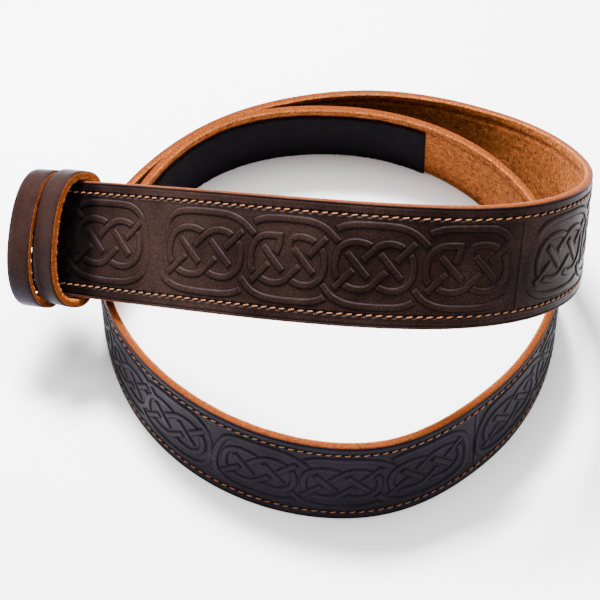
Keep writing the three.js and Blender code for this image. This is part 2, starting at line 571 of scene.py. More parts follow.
ROUND, POINTED = KnotKind.ROUND, KnotKind.POINTED
PANELS = (
    Panel((Knot(-13.5, 1.08), Knot(28.9, 1.125)), 0.0, 0.35),
    Panel(
        (Knot(86.6, 1.115), Knot(132.0, 1.0, POINTED), Knot(172.0, 1.0),
         Knot(213.4, 1.015, POINTED)),
        0.25, 0.2,
    ),
    Panel(
        (Knot(266.6, 1.09), Knot(310.6, 1.02, POINTED), Knot(351.8, 1.0), Knot(391.8, 1.0, POINTED)),
        0.12, 0.6,
    ),
    even_panel(435.5, 607.0, (ROUND, POINTED, ROUND, POINTED)),
    even_panel(607.0, 731.0, (ROUND, ROUND, ROUND)),
    Panel((Knot(736.5, 0.96), Knot(775.2, 1.0), Knot(811.4, 1.06)), 0.6, 0.6),
    Panel((Knot(860.7, 1.02), Knot(900.9, 1.04), Knot(942.6, 1.07)), 1.0, 0.8),
    Panel((Knot(996.6, 1.12), Knot(1042.0, 1.05), Knot(1084.4, 1.02)), 1.0, 0.8),
    even_panel(1131.0, 1258.0, (ROUND, ROUND, ROUND)),
    even_panel(1258.0, 1385.0, (ROUND, ROUND, ROUND)),
)
BORDERS = (
    Border(80.4, BorderKind.CRUMPLED),
    Border(257.2, BorderKind.LINE),
    Border(435.5, BorderKind.CRUMPLED),
    Border(607.0, BorderKind.LINE),
    Border(731.0, BorderKind.CRUMPLED),
    Border(855.2, BorderKind.CRUMPLED),
    Border(991.0, BorderKind.LINE),
    Border(1131.0, BorderKind.CRUMPLED),
    Border(1258.0, BorderKind.LINE),
)


@dataclass
class BandField:
    """Signed distance to one band's outline, and how deep it is pressed, over a grid."""

    distance: np.ndarray
    depth: np.ndarray


@dataclass
class Knotwork:
    """The pressed pattern as a relief over the strap's face."""

    half_band: float = 1.48
    cut_gap: float = 0.5
    fade_length: float = 7.0
    lead: float = 4.0
    raise_edge: float = 0.26
    raise_crown: float = 0.20
    groove_depth: float = 0.10
    ground_sink: float = 0.10

    def band_field(
        self, line: np.ndarray, length: np.ndarray, rise: np.ndarray, begins: Start = Start.CUT
    ) -> BandField:
        """Distance from a grid to a band with square ends.

        The middle line goes on straight past both ends; the outline's distance is the larger of
        the distance across less half the band, and the distance past the nearer end.

        Args:
            line: The middle line's points on the strap.
            length: The grid's lengths.
            rise: The grid's heights.
            begins: How the band begins.

        Returns:
            The field over the grid.
        """
        curve = curve_through(line, 4)
        lead = self.lead
        head = curve[0] - curve[1]
        tail = curve[-1] - curve[-2]
        curve = np.vstack([
            curve[0] + lead * head / np.linalg.norm(head),
            curve,
            curve[-1] + lead * tail / np.linalg.norm(tail),
        ])
        start, way = curve[:-1], np.diff(curve, axis=0)
        spans = np.linalg.norm(way, axis=1)
        before = np.concatenate([[0.0], np.cumsum(spans)])[:-1] - lead
        x = length[..., None] - start[:, 0]
        y = rise[..., None] - start[:, 1]
        t = np.clip((x * way[:, 0] + y * way[:, 1]) / spans**2, 0, 1)
        away = np.hypot(x - t * way[:, 0], y - t * way[:, 1])
        nearest = np.argmin(away, axis=-1)
        pick = np.expand_dims(nearest, -1)
        across = np.take_along_axis(away, pick, -1)[..., 0]
        along = before[nearest] + np.take_along_axis(t, pick, -1)[..., 0] * spans[nearest]
        whole = spans.sum() - 2 * lead
        distance = np.maximum.reduce([across - self.half_band, -along, along - whole])
        depth = np.ones_like(distance)
        if begins is Start.FADE:
            depth = smoothstep(-1.0, self.fade_length, along)
        return BandField(distance, depth)

    def knot_fields(
        self, knot: Knot, panel: Panel, length: np.ndarray, rise: np.ndarray
    ) -> list[BandField]:
        """Fields of every band of one knot and its share of the frame.

        Args:
            knot: The knot.
            panel: The panel it belongs to.
            length: The grid's lengths.
            rise: The grid's heights.

        Returns:
            One field a band, with slanted cuts already made.
        """

        def on_strap(line: tuple[tuple[float, float], ...]) -> np.ndarray:
            """The line's points moved to the knot's place."""
            return np.array(line) * (knot.stretch, 1.0) + (knot.start, 0.0)

        made = {}
        bands = LOWER_BANDS + UPPER_BANDS[knot.kind]
        for band in bands:
            made[band.name] = self.band_field(on_strap(band.line), length, rise, band.start)
        cut = {}
        for band in bands:
            distance = made[band.name].distance
            for over in band.under:
                distance = np.maximum(distance, self.cut_gap - made[over].distance)
            cut[band.name] = BandField(distance, made[band.name].depth)
        fields = list(cut.values())
        is_first, is_last = knot is panel.knots[0], knot is panel.knots[-1]
        lines = (FIRST_FRAME,) if is_first else (LAST_FRAME,) if is_last else (FRAME_TOP, FRAME_BOTTOM)
        share = panel.left_depth if is_first else panel.right_depth if is_last else 1.0
        for line in lines:
            frame_band = self.band_field(on_strap(line), length, rise)
            middle = smoothstep(12.5, 17.5, rise) * smoothstep(44.0, 38.5, rise)
            ahead, behind = knot.start + 5.0, knot.start + 36.0 * knot.stretch
            at_side = length < ahead if is_first else length > behind
            frame_band.depth = 1 - (1 - share) * middle * at_side
            fields.append(frame_band)
        return fields

    def relief(self, length: np.ndarray, rise: np.ndarray) -> tuple[np.ndarray, np.ndarray]:
        """Height of the pattern, and where its creases are, over a grid.

        Inside a band the face stands up by an edge step and a round crown. Just outside it a
        groove is pressed, and between the bands of a panel the ground is a little sunk.

        Args:
            length: Lengths of the grid's rows.
            rise: Heights of its columns.

        Returns:
            Heights in millimetres, and shares from 0 to 1 of the shade painted in the creases.
        """
        distance = np.full((len(length), len(rise)), 9.0)
        depth = np.ones_like(distance)
        for panel in PANELS:
            for knot in panel.knots:
                near = (length > knot.start - 9) & (length < knot.start + 48 * knot.stretch)
                if not near.any():
                    continue
                rows = np.flatnonzero(near)
                band_rows = slice(rows[0], rows[-1] + 1)
                grid_length, grid_rise = np.meshgrid(length[band_rows], rise, indexing="ij")
                for band in self.knot_fields(knot, panel, grid_length, grid_rise):
                    here = distance[band_rows]
                    closer = band.distance < here
                    distance[band_rows] = np.where(closer, band.distance, here)
                    depth[band_rows] = np.where(closer, band.depth, depth[band_rows])
        inside = np.clip(-distance / self.half_band, 0, 1)
        crown = np.sqrt(1 - (1 - inside) ** 2)
        step = smoothstep(0.14, -0.34, distance)
        height = step * (self.raise_edge + self.raise_crown * crown)
        height -= self.groove_depth * bell(distance - 0.38, 0.38)
        height -= self.ground_sink * smoothstep(0.3, 1.2, distance) * smoothstep(6.0, 3.0, distance)
        # Painted shade in the grooves just outside each band.
        crease_shade = bell(distance - 0.16, 0.36)
        return height * depth, crease_shade * depth


# Tooled face


@dataclass
class StitchRows:
    """Where the two rows of stitches run, the stitch's size, and how deep their channel, its
    holes and its raised lip are."""

    heights: tuple[float, float] = (5.95, 51.3)
    firsts: tuple[float, float] = (4.35, 5.8)
    pitch: float = 4.52
    stitch_length: float = 2.85
    stitch_width: float = 0.70
    slant: float = 0.16
    channel_depth: float = 0.17
    hole_depth: float = 0.50
    lip: float = 0.24

    def centres(self, strap_length: float) -> tuple[np.ndarray, ...]:
        """Lengths of the stitches' middles, an array a row."""
        return tuple(
            np.arange(first, strap_length - 3.0, self.pitch) for first in self.firsts
        )


@dataclass
class TooledFace:
    """The strap's outer face, as thin sheets that hold the pattern, the stitch holes and the
    creases along its edges.

    A row of pieces is a sheet's name, where it starts and ends, and its step. The keepers' shadow is
    painted on the face as a dark patch under and beside them, full up to one length and fading out at a
    later one.
    """

    path: StrapPath
    knotwork: Knotwork
    rows: StitchRows
    margin: float = 1.3
    edge_crease: float = 0.34
    keeper_shadow_to: float = 37.0
    keeper_shadow_from: float = 50.0
    finest: float = 0.36
    skirt: float = 0.75
    pieces: tuple[tuple[str, float, float, float], ...] = (
        ("tooled_face_keepers", 0.3, 80.4, 0.36),
        ("tooled_face_front", 80.4, 170.0, 0.36),
        ("tooled_face_right", 170.0, 257.2, 0.36),
        ("tooled_face_bend", 257.2, 435.5, 0.5),
        ("tooled_face_back", 435.5, 731.0, 0.8),
        ("tooled_face_left", 731.0, 855.2, 0.55),
        ("tooled_face_lower", 855.2, 991.0, 0.45),
        ("tooled_face_lower_bend", 991.0, 1131.0, 0.55),
        ("tooled_face_end", 1131.0, 1416.5, 0.95),
    )

    def height(self, length: np.ndarray, rise: np.ndarray) -> tuple[np.ndarray, np.ndarray]:
        """The face's whole relief: knotwork, borders, stitch rows, edge creases and soft waves.

        Args:
            length: Lengths of the rows.
            rise: Heights of the columns.

        Returns:
            Heights in millimetres, and what is painted: shade in creases, a highlight on the upper sides
            of what stands up, and shade in holes. The keepers' shadow is painted with the crease shade.
        """
        height, crease_shade = self.knotwork.relief(length, rise)
        grid_length, grid_rise = np.meshgrid(length, rise, indexing="ij")
        hole = np.zeros_like(height)
        across = smoothstep(7.2, 8.6, grid_rise) * smoothstep(50.2, 48.8, grid_rise)
        for border in BORDERS:
            if border.kind is BorderKind.LINE:
                bend = 0.5 * np.sin((grid_rise - 28) / 22) - 0.012 * (grid_rise - 28)
                away = grid_length - border.length - bend
                height += across * (0.20 * bell(away - 0.85, 0.5) - 0.22 * bell(away, 0.42))
                # Painted shade in the pressed line's crease.
                crease_shade += across * 0.7 * bell(away + 0.1, 0.4)
            else:
                away = grid_length - border.length
                patch = bell(away, 4.5) * across
                rough = smooth_noise(grid_length / 2.2, grid_rise / 3.4, 12, 3)
                fine = smooth_noise(grid_length / 1.3, grid_rise / 1.9, 13, 1)
                height += patch * (0.050 * rough + 0.030 * fine)
        for row, first in zip(self.rows.heights, self.rows.firsts):
            away = grid_rise - row
            phase = (grid_length - first) / self.rows.pitch
            past_gap = (phase - np.floor(phase) - 0.5) * self.rows.pitch
            gap = np.abs(past_gap)
            near_gap = bell(gap, 1.0)
            channel = np.exp(-((away / 0.72) ** 4))
            height -= (self.rows.channel_depth + 0.10 * near_gap) * channel
            slanted = away - 0.10 - 0.25 * past_gap
            pit = np.exp(-((gap / 1.0) ** 4)) * np.exp(-((slanted / 0.78) ** 4))
            height -= self.rows.hole_depth * pit
            height += self.rows.lip * bell(away + 1.28, 0.36) * (1 - 0.3 * near_gap)
            height += 0.04 * bell(away - 1.3, 0.4)
            # Painted shade along the stitch channel.
            crease_shade += 0.9 * np.exp(-(((away - 0.02) / 0.80) ** 4))
            # The pits are painted as shade in the stitch holes.
            hole += pit
        edge = np.minimum(grid_rise, self.path.width - grid_rise) - self.margin
        height -= self.edge_crease * bell(edge, 0.42)
        height += 0.04 * bell(edge - 0.95, 0.45)
        # Painted shade in the creases along the edges.
        crease_shade += 0.8 * bell(edge, 0.4)
        height += 0.03 * smooth_noise(grid_length / 38, grid_rise / 38, 5, 2)
        # Painted highlight on the sides that face up towards the light, weaker in the keepers' painted
        # shadow.
        slope_along, slope_up = np.gradient(height, length, rise)
        facing = -0.2 * slope_along - slope_up
        # Painted shadow of the keepers: dark under and beside them, fading out further along.
        keeper_shadow = smoothstep(self.keeper_shadow_from, self.keeper_shadow_to, grid_length)
        upper_side_highlight = smoothstep(0.30, 1.0, facing) * (1 - np.clip(hole, 0, 1)) * (1 - 0.9 * keeper_shadow)
        upper_side_highlight *= 1 - smoothstep(1.6, 0.6, edge)
        crease_shade = np.maximum(np.clip(crease_shade, 0, 1), 1.15 * keeper_shadow)
        paint = np.stack([crease_shade, upper_side_highlight, np.clip(hole, 0, 1)], -1)
        return height, paint

    def build(self, leather: bpy.types.Material) -> None:
        """Makes the sheets. Each has a skirt that goes down into the strap's body."""
        low, high = self.margin, self.path.width - self.margin
        for name, start, end, step in self.pieces:
            count = int((end - start) / step)
            length = np.linspace(start, end, count + 1)
            across = max(self.finest, 0.85 * step)
            rise = np.linspace(low, high, int((high - low) / across))
            height, paint = self.height(length, rise)
            rise = np.concatenate([[rise[0]], rise, [rise[-1]]])
            depth = -np.pad(height, ((0, 0), (1, 1)), mode="edge")
            depth[:, [0, -1]] = self.skirt
            paint = np.pad(paint, ((0, 0), (1, 1), (0, 0)), mode="edge")
            points = self.path.surface(length, np.broadcast_to(rise, depth.shape), depth)
            uv = np.stack(np.meshgrid(length * MM, rise * MM, indexing="ij"), -1)
            sheet = Surface(points, uv, paint=paint, flip=True)
            place_piece(mesh_piece(name, [sheet], [leather]), ("strap",))


# Strap body


@dataclass
class StrapBody:
    """The strap under its tooled face: dyed bevels, cut edges and the suede of the inner side."""

    path: StrapPath
    rows: StitchRows
    step: float = 2.0
    back_points: int = 46

    def profile(self) -> tuple[np.ndarray, np.ndarray, np.ndarray]:
        """One section as a closed ring.

        Returns:
            Heights, depths, and the material slot of the face after each point.
        """
        width, thick = self.path.width, self.path.thickness
        bead = np.array([
            (1.9, 0.62, 0), (1.42, 0.5, 0), (1.3, 0.24, 0), (1.12, 0.04, 0), (0.85, -0.03, 0),
            (0.5, 0.04, 1), (0.22, 0.2, 1), (0.06, 0.48, 1), (0.0, 0.82, 1), (-0.04, 1.0, 1),
            (-0.06, 1.5, 1), (-0.06, 2.2, 1), (-0.02, 2.9, 1), (0.14, 3.35, 1), (0.45, 3.66, 2),
            (0.95, 3.8, 2),
        ])
        back_rise = np.linspace(width - 1.5, 1.5, self.back_points)
        top = np.stack([width - bead[:, 0], bead[:, 1], bead[:, 2]], 1)
        back = np.stack(
            [back_rise, np.full(self.back_points, thick), np.full(self.back_points, 2.0)], 1
        )
        bottom = bead[::-1].copy()
        bottom[:, 2] = np.concatenate([bead[::-1][1:, 2], [0.0]])
        ring = np.vstack([top, back, bottom])
        return ring[:, 0], ring[:, 1], ring[:, 2].astype(np.int32)

    def build(self, leather: bpy.types.Material, edge: bpy.types.Material, suede: bpy.types.Material) -> None:
        """Sweeps the section along the strap.

        The suede side is dented along the stitch rows, more at each hole, and swells a little
        beside them.

        Args:
            leather: The dyed leather.
            edge: The cut edge.
            suede: The suede side.
        """
        rise, depth, slots = self.profile()
        length = np.linspace(0, self.path.length, int(self.path.length / self.step) + 1)
        grid_length, grid_rise = np.meshgrid(length, rise, indexing="ij")
        depths = np.broadcast_to(depth, grid_rise.shape).copy()
        on_back = smoothstep(3.4, 3.8, depths)
        for row in self.rows.heights:
            away = grid_rise - row
            depths -= on_back * (0.55 * bell(away, 0.9) - 0.20 * bell(np.abs(away) - 2.1, 0.9))
        depths += on_back * 0.07 * smooth_noise(grid_length / 21, grid_rise / 17, 21, 3)
        points = self.path.surface(length, grid_rise, depths)
        uv = np.stack([grid_length, grid_rise], -1) * MM
        paint = np.zeros((*grid_rise.shape, 3))
        # Painted shade along the stitch dents of the suede side and in the creases of the bevels.
        for row in self.rows.heights:
            paint[..., 0] += on_back * bell(grid_rise - row, 0.8)
        paint[..., 0] += 0.7 * (1 - on_back) * bell(depths - 0.3, 0.15) * bell(np.minimum(
            grid_rise, self.path.width - grid_rise) - 1.3, 0.15)
        paint[..., 1] = np.where(slots == 0, 0.0, np.clip(1 - depths / self.path.thickness, 0, 1))
        body = Surface(points, uv, wrap_columns=True, slots=slots, paint=paint, cap_ends=True,
                       cap_slot=1, flip=True)
        piece = mesh_piece("strap_body", [body], [leather, edge, suede])
        place_piece(piece, ("strap",))


@dataclass
class Stitching:
    """The thread: one slightly slanted, arched stitch after another in both rows, on both sides."""

    path: StrapPath
    rows: StitchRows
    around: int = 6
    along: int = 7

    def build(self, thread: bpy.types.Material) -> None:
        """Makes the face's stitches and the back's.

        A stitch is a spindle: its half width goes as the root of 1 - t^4 along it, and its middle
        stands up by a share of 1 - t^2, with t from -1 to 1.

        Args:
            thread: The thread's material.
        """
        t = np.sin(np.linspace(-np.pi / 2, np.pi / 2, self.along + 1))
        turn = np.linspace(0, 2 * np.pi, self.around, endpoint=False)
        full = np.sqrt(np.clip(1 - t**4, 0.0, 1)) * 0.96 + 0.04
        for name, side_depth, share, outward in (
            ("stitching_face", -0.05, 1.0, 1.0),
            ("stitching_back", self.path.thickness - 0.62, 0.8, -1.0),
        ):
            surfaces = []
            for row, centres in zip(self.rows.heights, self.rows.centres(self.path.length)):
                source = np.random.default_rng(int(row * 10) + int(side_depth > 1))
                jitter = source.normal(0, 1, (len(centres), 3))
                half = self.rows.stitch_length / 2 * share * (1 + 0.04 * jitter[:, 0])
                place = centres[:, None] + half[:, None] * t
                lift = 0.22 * (1 - t**2) * share
                radius = self.rows.stitch_width / 2 * full * share
                slant = self.rows.slant * (1 + 0.25 * jitter[:, 1])[:, None] * t * outward
                length = np.repeat(place.ravel(), self.around)
                rise = (
                    row + 0.05 * jitter[:, 2, None, None] + slant[..., None] * 1.6
                    + radius[None, :, None] * np.cos(turn)
                )
                depth = (
                    side_depth - outward * lift[None, :, None]
                    - outward * 0.72 * radius[None, :, None] * np.sin(turn)
                    + np.zeros((len(centres), 1, 1))
                )
                points = self.path.surface(length, rise.reshape(-1, 1), depth.reshape(-1, 1))
                points = points.reshape(len(centres), self.along + 1, self.around, 3)
                u, v = np.meshgrid(t * half.mean() * MM, turn, indexing="ij")
                uv = np.stack([u, v / (2 * np.pi)], -1)
                for stitch in points:
                    surfaces.append(Surface(stitch, uv, wrap_columns=True, flip=outward < 0,
                                            cap_ends=True))
            place_piece(mesh_piece(name, surfaces, [thread]))


# Keepers


@dataclass
class Keeper:
    """A closed leather loop round the strap's buckle end, with a rounded front.

    The front and back rooms and the half height are inside the loop. `shaded` is how wide a strip
    of its face is painted dark along the border towards the strap's end.
    """

    path: StrapPath
    name: str
    middle: float
    front_room: float
    half_height: float
    front_roundness: float
    thickness: float
    drop: float
    push: float
    roll: float
    yaw: float
    pitch: float
    seed: int
    shaded: float = 0.0
    width: float = 14.7
    back_room: float = 8.6
    back_roundness: float = 4.0
    around: int = 220

    def axes(self) -> tuple[np.ndarray, ...]:
        """The loop's middle and its own axes: along the strap, up, and out of the tooled face.

        The strap's axes there are turned about its up by yaw, about its out by roll, and about its
        along by pitch, as the loose loop hangs.
        """
        point, along, up, out = (part[0] for part in self.path.frames(np.array([self.middle])))
        middle = point + up * (self.path.width / 2 - self.drop) + out * self.push
        turned = []
        for vector in (along, up, out):
            for axis, degrees in ((up, self.yaw), (out, self.roll), (along, self.pitch)):
                angle = np.radians(degrees)
                vector = (
                    vector * np.cos(angle) + np.cross(axis, vector) * np.sin(angle)
                    + axis * (vector @ axis) * (1 - np.cos(angle))
                )
            turned.append(vector)
        return middle + self.path.shift - (0, 0, self.path.rest_depth), *turned

    def outline(self) -> np.ndarray:
        """The loop's inner outline, at equal steps: superellipses for its front and its back.

        Returns:
            Rows of how far up from the loop's middle, and how far out of the tooled face.
        """
        angle = np.linspace(0, 2 * np.pi, 2401)
        front = np.sin(angle) > 0
        reach = np.where(front, self.front_room, self.back_room)
        power = 2 / np.where(front, self.front_roundness, self.back_roundness)
        up = np.sign(np.cos(angle)) * np.abs(np.cos(angle)) ** power
        out = np.sign(np.sin(angle)) * np.abs(np.sin(angle)) ** power
        fine = np.stack([up * self.half_height, out * reach], 1)
        steps = np.linalg.norm(np.diff(fine, axis=0), axis=1)
        lengths = np.concatenate([[0.0], np.cumsum(steps)])
        even = np.linspace(0, lengths[-1], self.around, endpoint=False)
        return np.stack([np.interp(even, lengths, fine[:, k]) for k in range(2)], 1)

    def section(self) -> tuple[np.ndarray, np.ndarray, np.ndarray]:
        """One section of the loop's wall as a closed ring.

        Returns:
            Distances out from the inner outline, sideways places, and material slots.
        """
        w, t = self.width, self.thickness
        side = [
            (t - 0.03, 1.6, 0), (t, 0.9, 0), (t - 0.12, 0.42, 0), (t - 0.42, 0.1, 0),
            (t - 0.75, -0.02, 1), (t - 1.2, -0.05, 1), (t / 2, -0.06, 1), (1.0, -0.02, 1),
            (0.5, 0.12, 1), (0.16, 0.4, 2), (0.0, 0.9, 2),
        ]
        outer = [(t + 0.05 * np.sin(np.pi * s), w * s, 0) for s in np.linspace(0.88, 0.12, 9)]
        inner = [(0.0, w * s, 2) for s in np.linspace(0.08, 0.92, 14)]
        far = [(a, w - b, c) for a, b, c in side[::-1]]
        slots = [c for _, _, c in side[::-1]][1:] + [0]
        far = [(a, b, c) for (a, b, _), c in zip(far, slots)]
        ring = np.array(outer + side + inner + far)
        return ring[:, 0], ring[:, 1], ring[:, 2].astype(np.int32)

    def build(self, leather: bpy.types.Material, edge: bpy.types.Material, suede: bpy.types.Material) -> None:
        """Carries the section round the outline, with a slightly frayed inner border.

        Args:
            leather: The dyed leather.
            edge: The cut edge.
            suede: The suede side.
        """
        outline = self.outline()
        ahead, behind = np.roll(outline, -1, 0), np.roll(outline, 1, 0)
        tangent = ahead - behind
        tangent /= np.linalg.norm(tangent, axis=1, keepdims=True)
        outwards = np.stack([tangent[:, 1], -tangent[:, 0]], 1)
        out, sideways, slots = self.section()
        turn = np.arange(self.around) / self.around
        grid_turn, grid_side = np.meshgrid(turn, sideways, indexing="ij")
        grid_out = np.broadcast_to(out, grid_side.shape).copy()
        inner_rim = smoothstep(1.3, 0.1, grid_out)
        at_border = smoothstep(2.2, 0.0, np.minimum(grid_side, self.width - grid_side))
        fray = smooth_noise(grid_turn * 46, grid_side / 2.0, self.seed, 3)
        fray_angle = 2 * np.pi * grid_turn
        closing = np.sin(fray_angle / 2) ** 0.25
        grid_out -= inner_rim * at_border * (0.16 + 0.20 * fray) * closing
        grid_side = grid_side + (grid_out < 1.4) * at_border * 0.10 * fray * closing
        grid_out += 0.04 * np.sin(fray_angle * 3 + 1.0) * (grid_out > 1)
        middle, along, up, outward = self.axes()
        rise = outline[:, :1] + outwards[:, :1] * grid_out
        reach = outline[:, 1:] + outwards[:, 1:] * grid_out
        points = (
            middle + up * rise[..., None] + outward * reach[..., None]
            + along * (grid_side - self.width / 2)[..., None]
        )
        girth = np.linalg.norm(ahead - outline, axis=1).sum()
        uv = np.stack([grid_turn * girth * MM, grid_side * MM], -1)
        paint = np.zeros((*grid_side.shape, 3))
        paint[..., 1] = np.where(slots == 0, 0.0, np.clip(grid_out / self.thickness, 0, 1))
        # Painted shade in the gap between the keepers, along the border towards the strap's end.
        if self.shaded > 0:
            paint[..., 0] = (slots == 0) * smoothstep(1.6 * self.shaded, 0.7 * self.shaded, grid_side)
        loop = Surface(points * MM, uv, wrap_columns=True, wrap_rows=True, slots=slots, paint=paint)
        piece = mesh_piece(self.name, [loop], [leather, edge, suede])
        place_piece(piece, (self.name.replace("_loop", ""),))


# Fastening tape


@dataclass
class FasteningTape:
    """The black tape on the inner side at the strap's end: a thin pad of pile with ragged sides."""

    path: StrapPath
    length: float = 190.0
    end_inset: float = 6.0
    top_margin: float = 6.0
    bottom_margin: float = 1.0
    gap: float = 0.3
    thickness: float = 1.6
    step: float = 0.8
    skew_high: float = -3.4
    skew_low: float = 1.6
    skew_fade: float = 30.0

    def build(self, pile: bpy.types.Material) -> None:
        """Makes the pad as a closed ring swept along the strap, its face roughened by the pile.

        Args:
            pile: The tape's material.
        """
        end = self.path.length - self.end_inset
        length = np.linspace(end - self.length, end, int(self.length / self.step) + 1)
        low, high = self.bottom_margin, self.path.width - self.top_margin
        face = np.linspace(high - 0.9, low + 0.9, 62)
        front = self.path.thickness + self.gap
        ring = np.array(
            [(low + 0.4, front, 0), (high - 0.4, front, 0), (high, front + 0.5, 1),
             (high + 0.05, front + 0.9, 1), (high - 0.25, front + 1.3, 1)]
            + [(rise, front + self.thickness, 1) for rise in face]
            + [(low + 0.25, front + 1.3, 1), (low, front + 0.9, 1), (low, front + 0.5, 1)]
        )
        grid_length, grid_rise = np.meshgrid(length, ring[:, 0], indexing="ij")
        depth = np.broadcast_to(ring[:, 1], grid_rise.shape).copy()
        loose = np.broadcast_to(ring[:, 2], grid_rise.shape)
        tuft = smooth_noise(grid_length / 3.1, grid_rise / 2.7, 41, 3)
        depth += loose * (0.10 * tuft - 0.08)
        ragged = smooth_noise(grid_length / 4.3, np.zeros_like(grid_rise), 42, 4)
        near_top = smoothstep(2.5, 0.0, high - grid_rise)
        near_low = smoothstep(2.5, 0.0, grid_rise - low)
        grid_rise = grid_rise + loose * 0.42 * ragged * (near_top - 0.3 * near_low)
        share = (grid_rise - low) / (high - low)
        skew = self.skew_low + (self.skew_high - self.skew_low) * share
        start = end - self.length
        grid_length = grid_length + skew * smoothstep(start + self.skew_fade, start, grid_length)
        points = np.stack([
            self.path.surface(column, grid_rise[:, k:k + 1], depth[:, k:k + 1])[:, 0]
            for k, column in enumerate(grid_length.T)
        ], 1)
        uv = np.stack([grid_length, grid_rise], -1) * MM
        pad = Surface(points, uv, wrap_columns=True, cap_ends=True, flip=True)
        place_piece(mesh_piece("tape_pile", [pad], [pile]), ("fastening_tape",))


# Finishes


class Graph:
    """One material's node tree, with short calls to add and join nodes."""

    def __init__(self, name: str) -> None:
        """Makes the material with a Principled shader and its output."""
        self.material = bpy.data.materials.new(name)
        self.material.use_nodes = True
        self.tree = self.material.node_tree
        self.tree.nodes.clear()
        self.shader = self.tree.nodes.new("ShaderNodeBsdfPrincipled")
        output = self.tree.nodes.new("ShaderNodeOutputMaterial")
        self.tree.links.new(self.shader.outputs["BSDF"], output.inputs["Surface"])

    def finish(self, colour: object, normal: object = None,
               **values: float | tuple[float, ...]) -> bpy.types.Material:
        """Joins the colour and normal to the shader and sets its other sockets.

        Args:
            colour: The base colour.
            normal: The normal, where there is a bump.
            values: Constants by the socket's name, with _ for a blank.

        Returns:
            The finished material.
        """
        self.feed(self.shader.inputs["Base Color"], colour)
        if normal is not None:
            self.feed(self.shader.inputs["Normal"], normal)
        for name, value in values.items():
            self.shader.inputs[name.replace("_", " ")].default_value = value
        return self.material

    def feed(self, socket: bpy.types.NodeSocket, value: object) -> None:
        """Links a socket's value, or sets it where it is a number or a colour."""
        if isinstance(value, bpy.types.NodeSocket):
            self.tree.links.new(value, socket)
        else:
            socket.default_value = value

    def object_point(self) -> bpy.types.NodeSocket:
        """Object coordinates."""
        return self.tree.nodes.new("ShaderNodeTexCoord").outputs["Object"]

    def parts(self, point: bpy.types.NodeSocket) -> bpy.types.NodeOutputs:
        """A point's three coordinates."""
        node = self.tree.nodes.new("ShaderNodeSeparateXYZ")
        self.tree.links.new(point, node.inputs[0])
        return node.outputs

    def flat_point(self, scale: tuple[float, float, float] = (1, 1, 1)) -> bpy.types.NodeSocket:
        """The piece's own flat coordinates, stretched by a scale."""
        source = self.tree.nodes.new("ShaderNodeUVMap")
        source.uv_map = "flat"
        mapping = self.tree.nodes.new("ShaderNodeMapping")
        mapping.inputs["Scale"].default_value = scale
        self.tree.links.new(source.outputs["UV"], mapping.inputs["Vector"])
        return mapping.outputs["Vector"]

    def tooling(self) -> tuple[bpy.types.NodeSocket, ...]:
        """What is painted on: shade in creases; a highlight on upper sides, or how near an edge is to the
        dye; shade in holes.
        """
        source = self.tree.nodes.new("ShaderNodeAttribute")
        source.attribute_name = "tooling"
        parts = self.tree.nodes.new("ShaderNodeSeparateColor")
        self.tree.links.new(source.outputs["Color"], parts.inputs["Color"])
        return parts.outputs["Red"], parts.outputs["Green"], parts.outputs["Blue"]

    def noise(self, point: bpy.types.NodeSocket, scale: float, detail: float = 3.0,
              roughness: float = 0.55, distortion: float = 0.0) -> bpy.types.NodeSocket:
        """Noise from 0 to 1 at a scale in waves a metre."""
        node = self.tree.nodes.new("ShaderNodeTexNoise")
        node.inputs["Scale"].default_value = scale
        node.inputs["Detail"].default_value = detail
        node.inputs["Roughness"].default_value = roughness
        node.inputs["Distortion"].default_value = distortion
        self.tree.links.new(point, node.inputs["Vector"])
        return node.outputs["Fac"]

    def cells(self, point: bpy.types.NodeSocket, scale: float) -> bpy.types.NodeSocket:
        """Distance to the nearest cell's middle, at a scale in cells a metre."""
        node = self.tree.nodes.new("ShaderNodeTexVoronoi")
        node.inputs["Scale"].default_value = scale
        self.tree.links.new(point, node.inputs["Vector"])
        return node.outputs["Distance"]

    def ramp(self, value: bpy.types.NodeSocket, low: float, high: float,
             to_low: float = 0.0, to_high: float = 1.0) -> bpy.types.NodeSocket:
        """Carries a range of values onto another, clamped."""
        node = self.tree.nodes.new("ShaderNodeMapRange")
        node.interpolation_type = "SMOOTHSTEP"
        for name, number in (("From Min", low), ("From Max", high), ("To Min", to_low),
                             ("To Max", to_high)):
            node.inputs[name].default_value = number
        self.tree.links.new(value, node.inputs["Value"])
        return node.outputs["Result"]

    def math(self, kind: str, a: object, b: object = 0.0) -> bpy.types.NodeSocket:
        """One arithmetic step."""
        node = self.tree.nodes.new("ShaderNodeMath")
        node.operation = kind
        self.feed(node.inputs[0], a)
        self.feed(node.inputs[1], b)
        return node.outputs[0]

    def times(self, a: object, b: object) -> bpy.types.NodeSocket:
        """The product of two values."""
        return self.math("MULTIPLY", a, b)

    def mix(self, share: object, a: object, b: object, kind: str = "MIX") -> bpy.types.NodeSocket:
        """Colour a with a share of colour b."""
        node = self.tree.nodes.new("ShaderNodeMix")
        node.data_type = "RGBA"
        node.blend_type = kind
        self.feed(node.inputs[0], share)
        self.feed(node.inputs[6], (*a, 1.0) if isinstance(a, tuple) else a)
        self.feed(node.inputs[7], (*b, 1.0) if isinstance(b, tuple) else b)
        return node.outputs[2]

    def bump(self, height: bpy.types.NodeSocket, depth: float, strength: float,
             below: bpy.types.NodeSocket | None = None) -> bpy.types.NodeSocket:
        """A normal from a height whose full range is depth metres."""
        node = self.tree.nodes.new("ShaderNodeBump")
        node.inputs["Strength"].default_value = strength
        node.inputs["Distance"].default_value = depth
        self.tree.links.new(height, node.inputs["Height"])
        if below is not None:
            self.tree.links.new(below, node.inputs["Normal"])
        return node.outputs["Normal"]


